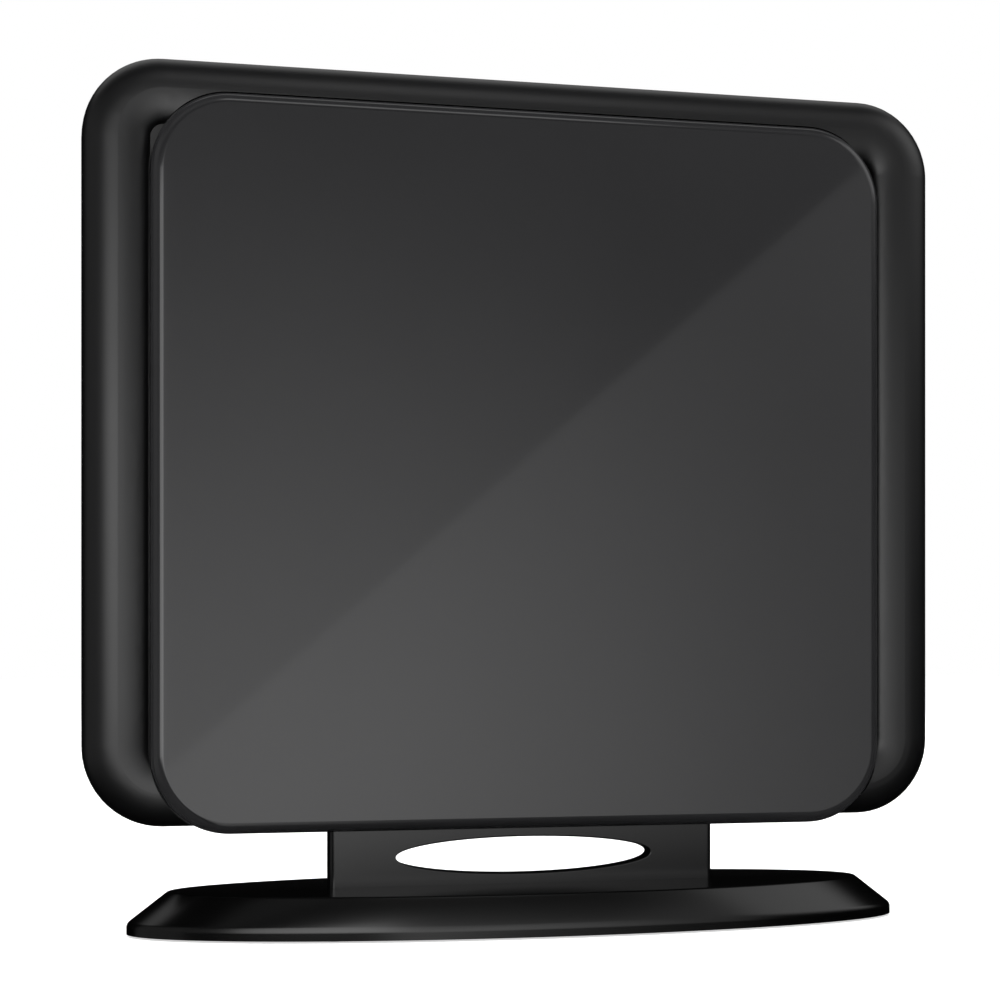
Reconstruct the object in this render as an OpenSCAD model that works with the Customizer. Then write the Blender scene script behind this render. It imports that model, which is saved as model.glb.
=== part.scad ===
// Table-top indoor TV antenna: a flat head with a rolled rim and a raised face,
// on a short neck with an oval window and a weighted oval base.
// Seen from the front, x runs to the right, y to the back and z up. Millimetres.

/* [Head] */
// Width of the head over its rim
head_w = 340; // [330:1:360]
// Height of the head over its rim
head_h = 288; // [280:1:310]
// Radius of the head's corners
head_corner_r = 30; // [27:1:36]
// Wall of the two housing halves
shell_t = 2.5; // [2:0.1:3]
// Depth of the rear half behind the parting plane
back_d = 33; // [31:0.5:36]
// Width of the rounded edge round the back
back_edge_w = 16; // [12:0.5:18]
// Width of the shadow line where the two halves meet
seam_w = 0.8; // [0.4:0.1:1.2]
// Depth of the shadow line
seam_depth = 0.5; // [0.3:0.1:1]

/* [Rim] */
// Distance from the outer edge to the crest of the roll
rim_outer_w = 12.5; // [10:0.5:14]
// Distance from the crest to the foot of the inner slope
rim_inner_w = 12.5; // [10:0.5:14]
// Height of the crest in front of the parting plane
rim_h = 9; // [8:0.5:11]
// Height of the seat that carries the face, in front of the parting plane
seat_h = 3.5; // [3.3:0.1:4.5]
// Thickness of the seat and of the wall round its pocket
seat_t = 2; // [1.6:0.1:2.2]
// Thickness of the lip that keys the two halves together
lip_t = 1.5; // [1:0.1:2]
// Reach of the lip into the rear half
lip_h = 2.5; // [1.5:0.1:4]

/* [Face] */
// Distance of the face from the head's left and right edges
face_side_inset = 24.5; // [22:0.5:28]
// Distance of the face from the head's top edge
face_top_inset = 13; // [12.5:0.5:16]
// How far the face hangs below the head's lower edge
face_drop = 2.7; // [1.5:0.1:4]
// How far the face stands in front of the rim's crest
face_proud = 3.2; // [2:0.1:5]
// Radius of the face's corners
face_corner_r = 30; // [24:1:34]
// Rounding between the face and its skirt
face_edge_r = 4.5; // [3:0.25:6]
// Wall of the face moulding
face_t = 2.2; // [1.6:0.1:2.6]
// Width of a snap tab behind the face
tab_w = 10; // [6:0.5:14]
// Thickness of a snap tab
tab_t = 1.8; // [1.2:0.1:2.4]
// Overhang of a snap tab's barb
barb_w = 0.8; // [0.5:0.1:1.2]
// Thickness of the ribs inside the mouldings
rib_t = 1.4; // [1:0.1:2]

/* [Neck] */
// Width of the neck
neck_w = 154; // [140:1:170]
// Thickness of the neck
neck_t = 8; // [7:0.5:10]
// Height of the neck between base and head
neck_h = 24.5; // [20:0.5:32]
// Rounding of the neck's upright edges
neck_edge_r = 2; // [1:0.25:3]
// Length of the oval window
window_w = 102.4; // [80:0.2:120]
// Height of the oval window
window_h = 14.2; // [10:0.2:16]
// Height of the window's centre above the base
window_up = 11; // [10:0.2:14]
// Width of the tongue inside the head
tongue_w = 140; // [120:1:148]
// Height of the tongue inside the head
tongue_h = 30; // [26:1:32]
// Width of the flange inside the base
flange_w = 168; // [160:1:180]
// Depth of the flange inside the base
flange_d = 34; // [30:1:38]
// Distance of the tongue's screws from its side
tongue_screw_inset = 20; // [10:1:30]
// Distance of the flange's screws from its side
flange_screw_inset = 24; // [16:1:30]

/* [Base] */
// Width of the oval base
base_w = 307; // [290:1:330]
// Depth of the oval base
base_d = 93; // [92:1:110]
// Height of the base moulding
base_h = 15.6; // [15:0.1:18]
// Height of its upright side
base_side_h = 4; // [3.5:0.1:5]
// Size of the flat top as a share of the outline
base_top_share = 0.9; // [0.88:0.01:0.92]
// Wall of the base moulding
base_t = 2.2; // [1.8:0.1:2.6]
// Thickness of the plate that closes the base
plate_t = 1.5; // [1:0.1:2]
// Length of the ballast
ballast_w = 200; // [180:1:206]
// Depth of the ballast
ballast_d = 64; // [56:1:68]
// Thickness of the ballast
ballast_t = 5; // [4:0.25:6]
// Radius of a foot pad
foot_r = 8; // [6:0.5:9]
// Distance of a foot pad's centre from the plate's edge
foot_edge_gap = 12; // [10:0.5:16]
// Angle of a foot pad's place round the plate
foot_angle = 55; // [45:1:65]
// Thickness of a foot pad
foot_t = 1.8; // [1.7:0.1:2.4]
// Height of the base moulding above the table
foot_stand = 0.8; // [0.5:0.1:1.2]

/* [Aerial] */
// Distance from the head's side to the element board
board_side_gap = 50; // [48:1:60]
// Height of the element board
board_h = 110; // [100:1:120]
// Thickness of the element board
board_t = 1.6; // [1:0.1:2]
// Distance of the element board behind the parting plane
board_back = 10; // [9:0.5:12]
// Thickness of the sheet metal pieces
sheet_t = 0.8; // [0.5:0.1:1]
// Half-height of a bow-tie wing at its narrow end
wing_root_h = 6; // [4:0.5:8]
// Half-height of a bow-tie wing at its wide end
wing_tip_h = 50; // [36:1:52]
// Gap between the two wings
wing_gap = 12; // [8:1:16]
// Distance from a wing's wide end to the board's edge
wing_edge_gap = 6; // [2:1:20]
// Distance from the head's side to the low-band loop
loop_side_gap = 42; // [40:1:50]
// Distance from the head's top and lower edge to the low-band loop
loop_end_gap = 42; // [40:1:50]
// Width of the loop's strip
loop_strip_w = 7; // [5:0.5:9]
// Radius of the loop's corners
loop_r = 24; // [16:1:30]
// Gap between the loop's two ends
loop_gap = 16; // [12:1:18]
// Distance from the head's side to the reflector
reflector_side_gap = 45; // [43:1:60]
// Height of the reflector
reflector_h = 176; // [150:1:180]
// Distance of the reflector's centre above the head's centre
reflector_up = 12; // [8:1:16]
// Height of the posts that carry the reflector
reflector_stand = 3.5; // [3:0.25:4]
// Number of slots across the reflector
reflector_slots = 13; // [9:2:17]
// Width of a slot
slot_w = 8.3; // [6:0.1:8.6]

/* [Balun] */
// Width of the screening can
can_w = 40; // [30:1:46]
// Height of the screening can
can_h = 26; // [22:1:30]
// Depth of the screening can
can_d = 11.5; // [10:0.5:12]
// Sheet of the screening can
can_t = 0.5; // [0.4:0.1:0.8]
// Width of the ferrite core
core_w = 14; // [10:0.5:16]
// Thickness of the ferrite core, also its height
core_t = 8; // [6:0.5:9]
// Radius of the core's two bores
core_bore_r = 2; // [1.5:0.1:2.4]
// Radius of a feed pin
pin_r = 0.6; // [0.4:0.05:0.8]
// Radius of the inner lead
lead_r = 1.5; // [1.2:0.1:1.8]
// Radius of the bend in the inner lead
lead_bend_r = 8; // [6:0.5:9]

/* [Socket] */
// Thread radius of the aerial socket
thread_r = 4.76; // [4.5:0.01:5]
// Reach of the socket behind the back
socket_reach = 12; // [11:0.5:12.5]
// Distance of the socket's axis below the head's centre
socket_down = 106; // [100:1:108]
// Width of the run-out groove between the nut and the free thread
groove_w = 0.5; // [0.3:0.1:1]
// Depth of the run-out groove
groove_depth = 0.35; // [0.2:0.05:0.6]
// Radius of the socket's flange
socket_flange_r = 7; // [6.5:0.1:8]
// Thickness of the socket's flange
socket_flange_t = 2; // [1.5:0.1:2.5]
// Radius of the socket's tail
socket_tail_r = 3.6; // [3.3:0.1:4.2]
// Radius of the socket's insulator
insulator_r = 2.7; // [2.4:0.1:3.1]
// Radius of the socket's spring contact
contact_r = 0.95; // [0.8:0.05:1.2]
// Radius of the hole in the contact
contact_bore_r = 0.5; // [0.4:0.05:0.6]
// Thickness of the washer
washer_t = 0.6; // [0.4:0.1:1]
// Radius of the washer
washer_r = 7.5; // [6.5:0.1:8]
// Thickness of the nut
nut_t = 2.6; // [2:0.1:3]
// Width of the nut across its flats
nut_flats = 11; // [10.6:0.1:12]

/* [Screws] */
// Radius of a case screw
case_screw_r = 1.5; // [1.25:0.05:1.6]
// Length of a case screw under its head
case_screw_l = 10; // [9:0.5:10.5]
// Radius of a case screw's head
case_head_r = 2.9; // [2.5:0.1:3.1]
// Radius of the housing's screw posts
post_r = 5; // [4.5:0.1:5.5]
// Radius of the seat's screw posts
pillar_r = 3.5; // [3:0.1:4]
// Distance of the corner posts from the head's side
post_side_inset = 34; // [31:1:38]
// Distance of the corner posts from the head's top and lower edge
post_end_inset = 32; // [29:1:36]
// Height behind the parting plane where the two sets of posts meet
post_split = 8; // [7:0.5:8.5]
// Radius of a small screw
small_screw_r = 1.2; // [1:0.05:1.3]
// Length of a small screw under its head
small_screw_l = 5; // [4.5:0.1:5.4]
// Radius of a base screw
base_screw_r = 1.5; // [1.25:0.05:1.6]
// Length of a base screw under its head
base_screw_l = 8; // [7:0.5:9]
// Radius of a stand screw
stand_screw_r = 2; // [1.5:0.1:2.2]
// Length of a stand screw under its head
stand_screw_l = 10; // [9:0.25:10.5]
// Radius of a rivet
rivet_r = 1.4; // [1:0.1:1.6]

/* [Hidden] */
$fn = 96;

// Running past a face that is cut through
cut = 1;
// Slip fit between pieces that are pushed together
slip = 0.2;
// Close fit of a shank or a pin in its hole
snug = 0.05;
// Shadow gap round the face
face_gap = 0.3;
// Corner left on a hollow or a strip that would otherwise come to a point
least_r = 1;
// How far a rib or post runs into the wall that carries it
root = 1;

base_z = foot_stand;
base_top = base_z + base_h;
base_a = base_w / 2;
base_b = base_d / 2;
plate_z = foot_t;
ballast_z = plate_z + plate_t;
flange_z = ballast_z + ballast_t;
plate_gap = 0.3;
screw_head_t = 1.5;
base_post_r = 4;
base_post_gap = 16;
base_post_y = 14;
base_post_spots = [for (sx = [-1, 1], sy = [-1, 1]) [sx * (ballast_w / 2 + base_post_gap), sy * base_post_y]];
plate_a = base_a - base_t - plate_gap;
plate_b = base_b - base_t - plate_gap;

head_mid = base_top + neck_h + head_h / 2;
core_h = seat_h - seat_t;
crest_x = head_corner_r - rim_outer_w;
back_floor = back_d - shell_t;

// The lip stands inside the roll's wall, and its inner edge runs a little into the hollow's roof
lip_bite = 0.3;
core_reach = rim_outer_w - shell_t;
lip_top = (rim_h - shell_t) * sqrt(1 - pow((core_reach - slip - lip_t) / core_reach, 2)) + lip_bite;

floor_rib_x = 68;
floor_rib_y = 36;
floor_rib_h = 2;

neck_front = seat_h - face_gap;
tongue_front = core_h - 2.5 * slip;
neck_back = neck_t - neck_front;
neck_y = (neck_back - neck_front) / 2;
neck_screw_spots = [for (sx = [-1, 1])
    [sx * (tongue_w / 2 - tongue_screw_inset), -head_h / 2 + tongue_h / 2]];
stand_screw_spots = [for (sx = [-1, 1], sy = [-1, 1])
    [sx * (flange_w / 2 - flange_screw_inset), neck_y + sy * (neck_t / 2 + flange_d / 2) / 2]];

face_w = head_w - 2 * face_side_inset;
face_h = head_h - face_top_inset + face_drop;
face_mid = -(face_top_inset + face_drop) / 2;
face_front = rim_h + face_proud;
tab_inset = face_t + slip + tab_t;
tab_tip = core_h - slip - barb_w;
side_tab_y = 61;
top_tab_x = 58;
bottom_tab_inset = 38;
bottom_tab_lift = 8;

cover_spots = [for (sx = [-1, 1], sy = [-1, 0, 1])
    [sx * (head_w / 2 - post_side_inset), sy * (head_h / 2 - post_end_inset)]];
case_floor_t = 4;
case_head_t = 2.2;

board_w = head_w - 2 * board_side_gap;
wing_l = (board_w - wing_gap) / 2 - wing_edge_gap;
loop_w = head_w - 2 * loop_side_gap;
loop_h = head_h - 2 * loop_end_gap;
reflector_w = head_w - 2 * reflector_side_gap;
board_corner_r = 3;
board_screw_inset = 60;
board_screw_end = 10;
board_spots = [for (sx = [-1, 1], sy = [-1, 1])
    [sx * (board_w / 2 - board_screw_inset), sy * (board_h / 2 - board_screw_end)]];
board_z = -board_back;
reflector_z = -(back_floor - reflector_stand);
reflector_corner_r = 4;
reflector_screw_inset = 25;
reflector_screw_end = 8;
reflector_spots = [for (sx = [-1, 1], sy = [-1, 1]) [sx * (reflector_w / 2 - reflector_screw_inset),
    reflector_up + sy * (reflector_h / 2 - reflector_screw_end)]];
slot_side_gap = 33;
slot_end_gap = 13;
slot_corner_r = 2.9;
small_head_r = 2.2;
small_head_t = 1.2;
// Cross recess of a screw: its half-length, half-width and depth as shares of the head's radius and height
cross_l = 0.6;
cross_w = 0.13;
cross_depth = 0.6;
wing_rivet_x = [30, 90];
loop_foot_l = 8;
loop_foot_end = 7;
loop_foot_y = -(board_h / 2 - loop_foot_end);
rivet_head_r = 2.4;
rivet_head_t = 0.7;
pin_inset = 4;
pin_x = wing_gap / 2 + pin_inset;
pin_l = 4;

socket_tail_l = 6;
insulator_back = 1.5;
contact_back = 0.5;
lead_seat = 2.5;
lead_z = -(back_floor - socket_flange_t - socket_tail_l - lead_bend_r);

// Stands a piece up in the head, from one drawn on its back: x right, y up, z to the front,
// with its centre in the middle of the parting plane
module in_head() {
    translate([0, 0, head_mid]) rotate([90, 0, 0]) children();
}

// Places children at each spot of a list
module at_spots(spots) {
    for (spot = spots) translate([spot[0], spot[1], 0]) children();
}

// Oblong with round corners
module round_oblong(w, h, r) {
    square([w - 2 * r, h], center = true);
    square([w, h - 2 * r], center = true);
    for (sx = [-1, 1], sy = [-1, 1]) translate([sx * (w / 2 - r), sy * (h / 2 - r)]) circle(r);
}

// Flat ring between two round-cornered oblongs
module oblong_ring(w, h, r, t) {
    difference() {
        round_oblong(w, h, r);
        round_oblong(w - 2 * t, h - 2 * t, max(r - t, least_r));
    }
}

// Quarter of an ellipse in the quadrant above and right of its centre
module quarter_ellipse(rx, ry) {
    intersection() {
        scale([rx, ry]) circle(1);
        square([rx, ry]);
    }
}

// Sweeps a profile round an oblong's edge and fills the middle between two heights.
// The profile's x runs outward from the corner's centre, and its y becomes z.
module pillow(w, h, r, bottom, top) {
    for (turn = [0:3]) {
        reach = (turn % 2 == 0 ? w : h) / 2 - r;
        run = (turn % 2 == 0 ? h : w) - 2 * r;
        rotate([0, 0, 90 * turn]) translate([reach, run / 2, 0]) {
            rotate([90, 0, 0]) linear_extrude(run) children();
            rotate_extrude(angle = 90) children();
        }
    }
    translate([0, 0, bottom]) linear_extrude(top - bottom) square([w - 2 * r, h - 2 * r], center = true);
}

// Outer form of the roll: a tall quarter outside the crest and a low one down to the seat
module rim_profile() {
    translate([crest_x, 0]) quarter_ellipse(rim_outer_w, rim_h);
    translate([crest_x, seat_h]) mirror([1, 0]) quarter_ellipse(rim_inner_w, rim_h - seat_h);
    square([crest_x, seat_h]);
}

// Hollow under the roll, one wall inside it and open to the back
module rim_core_profile() {
    translate([crest_x, 0]) quarter_ellipse(rim_outer_w - shell_t, rim_h - shell_t);
    translate([crest_x, core_h]) mirror([1, 0])
        quarter_ellipse(rim_inner_w - shell_t, rim_h - shell_t - core_h);
    square([crest_x, core_h]);
    translate([0, -cut]) square([head_corner_r - shell_t, cut]);
}

// Section of the rear half, drawn a wall smaller for its hollow
module back_profile(wall) {
    edge_x = head_corner_r - back_edge_w;
    mirror([0, 1]) {
        translate([edge_x, 0]) quarter_ellipse(back_edge_w - wall, back_d - wall);
        square([edge_x, back_d - wall]);
    }
    if (wall > 0) square([head_corner_r - wall, cut]);
}

// Section of the face's edge: an upright skirt rounded into the front, a wall smaller for the hollow
module face_profile(wall) {
    edge_r = max(face_edge_r - wall, least_r);
    side = face_corner_r - wall;
    top = face_front - wall;
    bottom = seat_h - (wall > 0 ? cut : 0);
    translate([side - edge_r, top - edge_r]) quarter_ellipse(edge_r, edge_r);
    translate([0, bottom]) square([side - edge_r, top - bottom]);
    translate([0, bottom]) square([side, top - edge_r - bottom]);
}

// Outline of the face, grown on all sides
module face_outline(grow) {
    translate([0, face_mid])
        round_oblong(face_w + 2 * grow, face_h + 2 * grow, face_corner_r + grow);
}

// Places children at the snap tabs, with x pointing from the face's edge to its middle
module at_tabs() {
    for (side = [0, 180], y = [-1, 1]) rotate([0, 0, side])
        translate([face_w / 2 - tab_inset, y * side_tab_y, 0]) rotate([0, 0, 180]) children();
    for (x = [-1, 1]) {
        translate([x * top_tab_x, head_h / 2 - face_top_inset - tab_inset, 0])
            rotate([0, 0, -90]) children();
        translate([x * (face_w / 2 - bottom_tab_inset), -head_h / 2 + bottom_tab_lift - tab_t, 0])
            rotate([0, 0, 90]) children();
    }
}

// Glossy fascia: a shallow tray with ribs and snap tabs behind it
module face_panel() {
    color("#3c3c3f") in_head() {
        difference() {
            translate([0, face_mid, 0]) pillow(face_w, face_h, face_corner_r, seat_h, face_front)
                face_profile(0);
            translate([0, face_mid, 0])
                pillow(face_w - 2 * face_t, face_h - 2 * face_t, face_corner_r - face_t,
                    seat_h - cut, face_front - face_t) face_profile(face_t);
        }
        rib_h = face_front - face_t + root / 2 - seat_h;
        for (step = [-1:1]) {
            translate([step * face_w / 4 - rib_t / 2, face_mid - face_h / 2 + root, seat_h])
                cube([rib_t, face_h - 2 * root, rib_h]);
            translate([-face_w / 2 + root, face_mid + step * face_h / 4 - rib_t / 2, seat_h])
                cube([face_w - 2 * root, rib_t, rib_h]);
        }
        at_tabs() {
            translate([-tab_t, -tab_w / 2, tab_tip])
                cube([tab_t, tab_w, face_front - face_t + root / 2 - tab_tip]);
            translate([-cut, -tab_w / 2, tab_tip]) cube([cut + barb_w, tab_w, barb_w]);
        }
    }
}

// Front half: the rolled rim, cored from behind, with the face's pocket let into it
module front_bezel() {
    color("#2a2a2d") in_head() difference() {
        union() {
            difference() {
                pillow(head_w, head_h, head_corner_r, 0, seat_h) rim_profile();
                difference() {
                    pillow(head_w, head_h, head_corner_r, -cut, core_h) rim_core_profile();
                    translate([0, 0, core_h]) linear_extrude(rim_h) face_outline(face_gap + seat_t);
                }
            }
            lip_in = shell_t + slip;
            translate([0, 0, -lip_h]) linear_extrude(lip_h + lip_top)
                oblong_ring(head_w - 2 * lip_in, head_h - 2 * lip_in, head_corner_r - lip_in, lip_t);
            at_spots(cover_spots) translate([0, 0, -post_split])
                cylinder(r = pillar_r, h = post_split + core_h + root);
            at_spots(board_spots) translate([0, 0, board_z])
                cylinder(r = pillar_r, h = board_back + core_h + root);
        }
        translate([0, 0, seat_h]) linear_extrude(rim_h) face_outline(face_gap);
        at_spots(cover_spots) translate([0, 0, -post_split - cut])
            cylinder(r = case_screw_r + snug, h = case_screw_l - case_floor_t + 2 * cut);
        at_spots(board_spots) translate([0, 0, board_z - cut])
            cylinder(r = small_screw_r + snug, h = small_screw_l - board_t + 2 * cut);
        at_tabs() translate([-tab_t - slip, -tab_w / 2 - slip, 0])
            cube([tab_t + barb_w + 2 * slip, tab_w + 2 * slip, rim_h]);
        tongue_slot();
    }
}

// Way through the head's lower wall for the tongue
module tongue_slot() {
    translate([-tongue_w / 2 - slip, -head_h / 2 - cut, -neck_back - slip])
        cube([tongue_w + 2 * slip, shell_t + lip_t + 2 * slip + 2 * cut, neck_back + tongue_front + 2 * slip]);
}

// Tubular screw post inside the back, open to the rear, from the back wall to a height
module back_post(top) {
    translate([0, 0, -back_floor - root]) cylinder(r = post_r, h = back_floor + root - top);
}

// Deep recess for a screw's head and the hole for its shank below it
module back_post_hole(top) {
    translate([0, 0, -back_d - cut])
        cylinder(r = case_head_r + 2 * slip, h = back_d + cut - top - case_floor_t);
    translate([0, 0, -back_d]) cylinder(r = case_screw_r + slip, h = back_d);
}

// Rear half: a soft-edged tray with its screw posts, ribs and the socket's hole
module rear_cover() {
    neck_post_top = neck_back + slip / 2;
    color("#1b1b1d") in_head() difference() {
        union() {
            difference() {
                pillow(head_w, head_h, head_corner_r, -back_d, 0) back_profile(0);
                pillow(head_w, head_h, head_corner_r, -back_floor, cut) back_profile(shell_t);
            }
            at_spots(cover_spots) back_post(post_split);
            at_spots(neck_screw_spots) back_post(neck_post_top);
            at_spots(reflector_spots) translate([0, 0, -back_floor - root])
                cylinder(r = pillar_r, h = reflector_stand + root);
            for (sx = [-1, 1])
                translate([sx * floor_rib_x - rib_t / 2, -head_h / 2 + back_edge_w, -back_floor - root])
                    cube([rib_t, head_h - 2 * back_edge_w, root + floor_rib_h]);
            for (sy = [-1, 1])
                translate([-head_w / 2 + back_edge_w, sy * floor_rib_y - rib_t / 2, -back_floor - root])
                    cube([head_w - 2 * back_edge_w, rib_t, root + floor_rib_h]);
        }
        translate([0, 0, -seam_w]) linear_extrude(seam_w + cut) difference() {
            round_oblong(head_w + 2 * cut, head_h + 2 * cut, head_corner_r + cut);
            round_oblong(head_w - 2 * seam_depth, head_h - 2 * seam_depth, head_corner_r - seam_depth);
        }
        at_spots(cover_spots) back_post_hole(post_split);
        at_spots(neck_screw_spots) back_post_hole(neck_post_top);
        at_spots(reflector_spots) translate([0, 0, reflector_z - small_screw_l])
            cylinder(r = small_screw_r + snug, h = small_screw_l + cut);
        at_socket() translate([0, 0, -back_d]) cylinder(r = thread_r + slip, h = back_d + cut);
        tongue_slot();
    }
}

// Printed board that carries the elements and the balun
module element_board() {
    color("#2f5a3c") in_head() translate([0, 0, board_z - board_t]) difference() {
        linear_extrude(board_t) round_oblong(board_w, board_h, board_corner_r);
        at_spots(board_spots) translate([0, 0, -cut])
            cylinder(r = small_screw_r + slip, h = board_t + 2 * cut);
        at_rivets() translate([0, 0, -cut]) cylinder(r = rivet_r + snug, h = board_t + 2 * cut);
        at_pins() translate([0, 0, -cut]) cylinder(r = pin_r + snug, h = board_t + 2 * cut);
    }
}

// Places children at the rivets of the wings and of the loop's feet
module at_rivets() {
    for (sx = [-1, 1]) {
        for (x = wing_rivet_x) translate([sx * x, 0, 0]) children();
        translate([sx * (loop_gap + loop_strip_w) / 2, loop_foot_y + loop_foot_l / 2, 0]) children();
    }
}

// Places children at the two feed pins
module at_pins() {
    for (sx = [-1, 1]) translate([sx * pin_x, 0, 0]) children();
}

// One half of the bow tie, a tapered sheet with its narrow end at the middle
module wing() {
    in_head() translate([0, 0, board_z]) difference() {
        linear_extrude(sheet_t) polygon([
            [wing_gap / 2, -wing_root_h], [wing_gap / 2 + wing_l, -wing_tip_h],
            [wing_gap / 2 + wing_l, wing_tip_h], [wing_gap / 2, wing_root_h]
        ]);
        at_rivets() translate([0, 0, -cut]) cylinder(r = rivet_r + snug, h = sheet_t + 2 * cut);
        at_pins() translate([0, 0, -cut]) cylinder(r = pin_r + snug, h = sheet_t + 2 * cut);
    }
}

module uhf_wing_left() {
    color("silver") mirror([1, 0, 0]) wing();
}

module uhf_wing_right() {
    color("silver") wing();
}

// Low-band loop: a flat strip on the back of the seat, its ends led up and back to the board
module vhf_loop() {
    color("silver") in_head() {
        translate([0, 0, core_h - sheet_t]) linear_extrude(sheet_t) difference() {
            oblong_ring(loop_w, loop_h, loop_r, loop_strip_w);
            translate([-loop_gap / 2, -loop_h / 2 - cut]) square([loop_gap, loop_strip_w + 2 * cut]);
        }
        for (sx = [-1, 1]) translate([sx * (loop_gap + loop_strip_w) / 2 - loop_strip_w / 2, 0, 0]) {
            translate([0, -loop_h / 2, core_h - sheet_t])
                cube([loop_strip_w, loop_h / 2 + loop_foot_y + sheet_t, sheet_t]);
            translate([0, loop_foot_y, board_z]) cube([loop_strip_w, sheet_t, core_h - board_z]);
            translate([0, loop_foot_y, board_z]) difference() {
                cube([loop_strip_w, loop_foot_l, sheet_t]);
                translate([loop_strip_w / 2, loop_foot_l / 2, -cut])
                    cylinder(r = rivet_r + snug, h = sheet_t + 2 * cut);
            }
        }
    }
}

// Rivets that hold the wings and the loop's feet to the board
module element_rivets() {
    color("gainsboro") in_head() at_rivets() {
        translate([0, 0, board_z - board_t]) cylinder(r = rivet_r, h = board_t + sheet_t);
        translate([0, 0, board_z + sheet_t]) cylinder(r = rivet_head_r, h = rivet_head_t);
        translate([0, 0, board_z - board_t - rivet_head_t]) cylinder(r = rivet_head_r, h = rivet_head_t);
    }
}

// Slotted sheet behind the elements
module reflector_plate() {
    slot_l = reflector_h / 2 - 2 * slot_end_gap;
    slot_pitch = (reflector_w - 2 * slot_side_gap) / (reflector_slots - 1);
    color("lightgray") in_head() translate([0, reflector_up, reflector_z]) difference() {
        linear_extrude(sheet_t) round_oblong(reflector_w, reflector_h, reflector_corner_r);
        for (i = [0 : reflector_slots - 1], sy = [-1, 1])
            translate([(i - (reflector_slots - 1) / 2) * slot_pitch, sy * reflector_h / 4, -cut])
                linear_extrude(sheet_t + 2 * cut) round_oblong(slot_w, slot_l, slot_corner_r);
        translate([0, -reflector_up, -cut]) at_spots(reflector_spots)
            cylinder(r = small_screw_r + slip, h = sheet_t + 2 * cut);
    }
}

// Screw with a cross recess, head towards the back, drawn with its seat at z = 0
module screw(r, l, head_r, head_t) {
    cylinder(r = r, h = l);
    difference() {
        translate([0, 0, -head_t]) cylinder(r = head_r, h = head_t);
        for (turn = [0, 90]) rotate([0, 0, turn])
            translate([-head_r * cross_l, -head_r * cross_w, -head_t - cut])
                cube([2 * head_r * cross_l, 2 * head_r * cross_w, cut + head_t * cross_depth]);
    }
}

// Small screws of the element board and the reflector
module board_screws() {
    color("silver") in_head() {
        at_spots(board_spots) translate([0, 0, board_z - board_t])
            screw(small_screw_r, small_screw_l, small_head_r, small_head_t);
        at_spots(reflector_spots) translate([0, 0, reflector_z + sheet_t]) mirror([0, 0, 1])
            screw(small_screw_r, small_screw_l - cut, small_head_r, small_head_t);
    }
}

// Screening can over the balun, open to the board
module balun_can() {
    color("silver") in_head() translate([0, 0, board_z - board_t - can_d]) difference() {
        translate([-can_w / 2, -can_h / 2, 0]) cube([can_w, can_h, can_d]);
        translate([-can_w / 2 + can_t, -can_h / 2 + can_t, can_t])
            cube([can_w - 2 * can_t, can_h - 2 * can_t, can_d]);
        translate([0, 0, lead_z - board_z + board_t + can_d]) rotate([90, 0, 0])
            cylinder(r = lead_r + snug, h = can_h);
    }
}

// Two-hole ferrite core on the back of the board
module balun_core() {
    color("dimgray") in_head() translate([0, 0, board_z - board_t - core_t]) difference() {
        translate([-core_w / 2, can_h / 2 - can_t - core_t, 0]) cube([core_w, core_t, core_t]);
        for (sx = [-1, 1]) translate([sx * core_w / 4, can_h / 2, core_t / 2]) rotate([90, 0, 0])
            cylinder(r = core_bore_r, h = can_h);
    }
}

// Pins that carry the signal from the wings through the board
module feed_pins() {
    color("gold") in_head() at_pins() translate([0, 0, board_z + sheet_t - pin_l - cut])
        cylinder(r = pin_r, h = pin_l + 2 * cut);
}

// Inner lead from the can down to the socket's tail, with one bend to the back
module feed_lead() {
    start_y = -can_h / 2 + 2 * lead_r;
    bend_y = -socket_down + lead_bend_r;
    color("#101010") in_head() {
        translate([0, start_y, lead_z]) rotate([90, 0, 0]) cylinder(r = lead_r, h = start_y - bend_y);
        translate([0, bend_y, lead_z - lead_bend_r]) rotate([0, -90, 0]) rotate([0, 0, -90])
            rotate_extrude(angle = 90) translate([lead_bend_r, 0]) circle(lead_r);
        translate([0, -socket_down, lead_z - lead_bend_r - lead_seat]) cylinder(r = lead_r, h = lead_seat);
    }
}

// Puts a turned piece at the socket, with z running out of the back from its outer face
module at_socket() {
    translate([0, -socket_down, -back_d]) mirror([0, 0, 1]) children();
}

// Turned socket: flange inside the back wall, thread through it and a tail for the lead
module socket_body() {
    flange_back = shell_t + socket_flange_t;
    tail_back = flange_back + socket_tail_l;
    color("lightgray") in_head() at_socket() difference() {
        union() {
            translate([0, 0, -flange_back]) cylinder(r = thread_r, h = flange_back + socket_reach);
            translate([0, 0, -flange_back]) cylinder(r = socket_flange_r, h = socket_flange_t);
            translate([0, 0, -tail_back]) cylinder(r = socket_tail_r, h = socket_tail_l + cut);
        }
        translate([0, 0, washer_t + nut_t]) difference() {
            cylinder(r = thread_r + cut, h = groove_w);
            cylinder(r = thread_r - groove_depth, h = groove_w);
        }
        translate([0, 0, -insulator_back]) cylinder(r = insulator_r, h = insulator_back + socket_reach + cut);
        translate([0, 0, -tail_back - cut]) cylinder(r = lead_r + snug, h = tail_back + cut);
    }
}

// White insulator inside the socket
module socket_insulator() {
    color("ivory") in_head() at_socket() difference() {
        translate([0, 0, -insulator_back]) cylinder(r = insulator_r, h = insulator_back + socket_reach - cut / 2);
        translate([0, 0, -contact_back]) cylinder(r = contact_r, h = contact_back + socket_reach + cut);
    }
}

// Spring contact in the insulator
module socket_contact() {
    color("gold") in_head() at_socket() translate([0, 0, -contact_back]) difference() {
        cylinder(r = contact_r, h = contact_back + socket_reach - cut);
        translate([0, 0, contact_back]) cylinder(r = contact_bore_r, h = socket_reach + cut);
    }
}

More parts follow.
